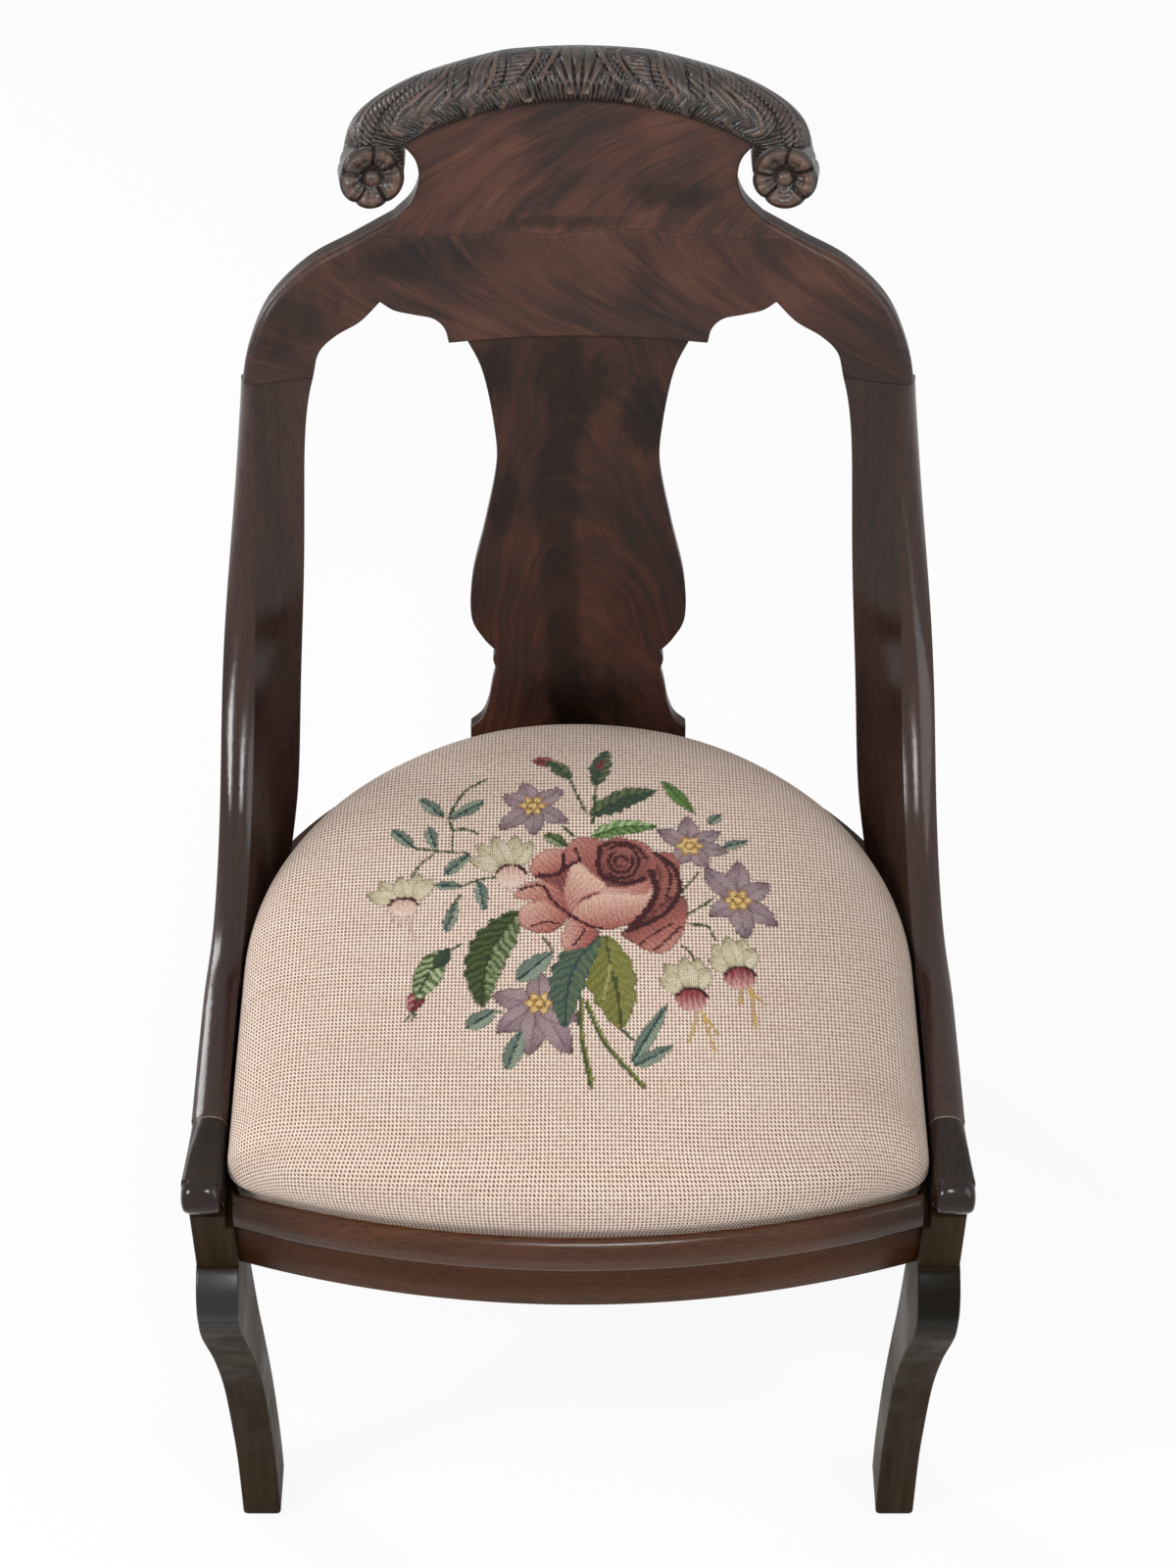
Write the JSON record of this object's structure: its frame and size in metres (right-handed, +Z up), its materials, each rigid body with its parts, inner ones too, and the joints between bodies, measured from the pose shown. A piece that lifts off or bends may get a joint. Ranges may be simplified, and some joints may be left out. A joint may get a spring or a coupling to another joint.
{
  "type": "side chair",
  "caption": "Gondola side chair in figured mahogany: hollow crest with carved roll, vase splat, stiles sweeping into low arms, bowed front rail, lift-out needlepoint seat.",
  "frame": {"origin": "centre of the bounding box on the floor", "axes": "+X to the right hand of a viewer in front, +Y to the back of the chair, +Z up"},
  "size_m": [0.4548, 0.543, 0.8474],
  "materials": {
    "mahogany": "satin varnish",
    "flame_veneer": "satin varnish",
    "carved_mahogany": "worn varnish",
    "secondary_wood": "raw",
    "needlepoint": "wool stitches",
    "hessian": "woven jute",
    "webbing": "woven jute",
    "stuffing": "curled hair",
    "steel": "plain"
  },
  "bodies": {
    "chair_frame": {"arm_dowels": "secondary_wood", "arm_terminal_left": "mahogany", "arm_terminal_right": "mahogany", "corner_block_left": "secondary_wood", "corner_block_right": "secondary_wood", "corner_block_screws": "steel", "crest_cap": "carved_mahogany", "crest_dowels": "secondary_wood", "crest_rail": "mahogany", "crest_veneer_lower": "flame_veneer", "crest_veneer_upper": "flame_veneer", "frame_dowels": "secondary_wood", "front_leg_left": "mahogany", "front_leg_right": "mahogany", "front_seat_rail": "mahogany", "rear_leg_left": "mahogany", "rear_leg_right": "mahogany", "rear_seat_rail": "mahogany", "rosette_left": "carved_mahogany", "rosette_right": "carved_mahogany", "side_rail_left": "mahogany", "side_rail_right": "mahogany", "splat": "mahogany", "splat_veneer": "flame_veneer", "stile_left": "mahogany", "stile_right": "mahogany"},
    "slip_seat": {"seat_cover": "needlepoint", "seat_stuffing": "stuffing", "seat_hessian": "hessian", "seat_webbing": "webbing", "dust_cover": "hessian", "cover_tacks": "steel", "slip_bar_front": "secondary_wood", "slip_bar_left": "secondary_wood", "slip_bar_rear": "secondary_wood", "slip_bar_right": "secondary_wood", "slip_frame_dowels": "secondary_wood"}
  },
  "joints": [
    {"name": "slip_seat_lift", "type": "slide", "parent": "chair_frame", "child": "slip_seat", "axis": [0, 0, 1], "range_m": [0, 0.09]}
  ]
}
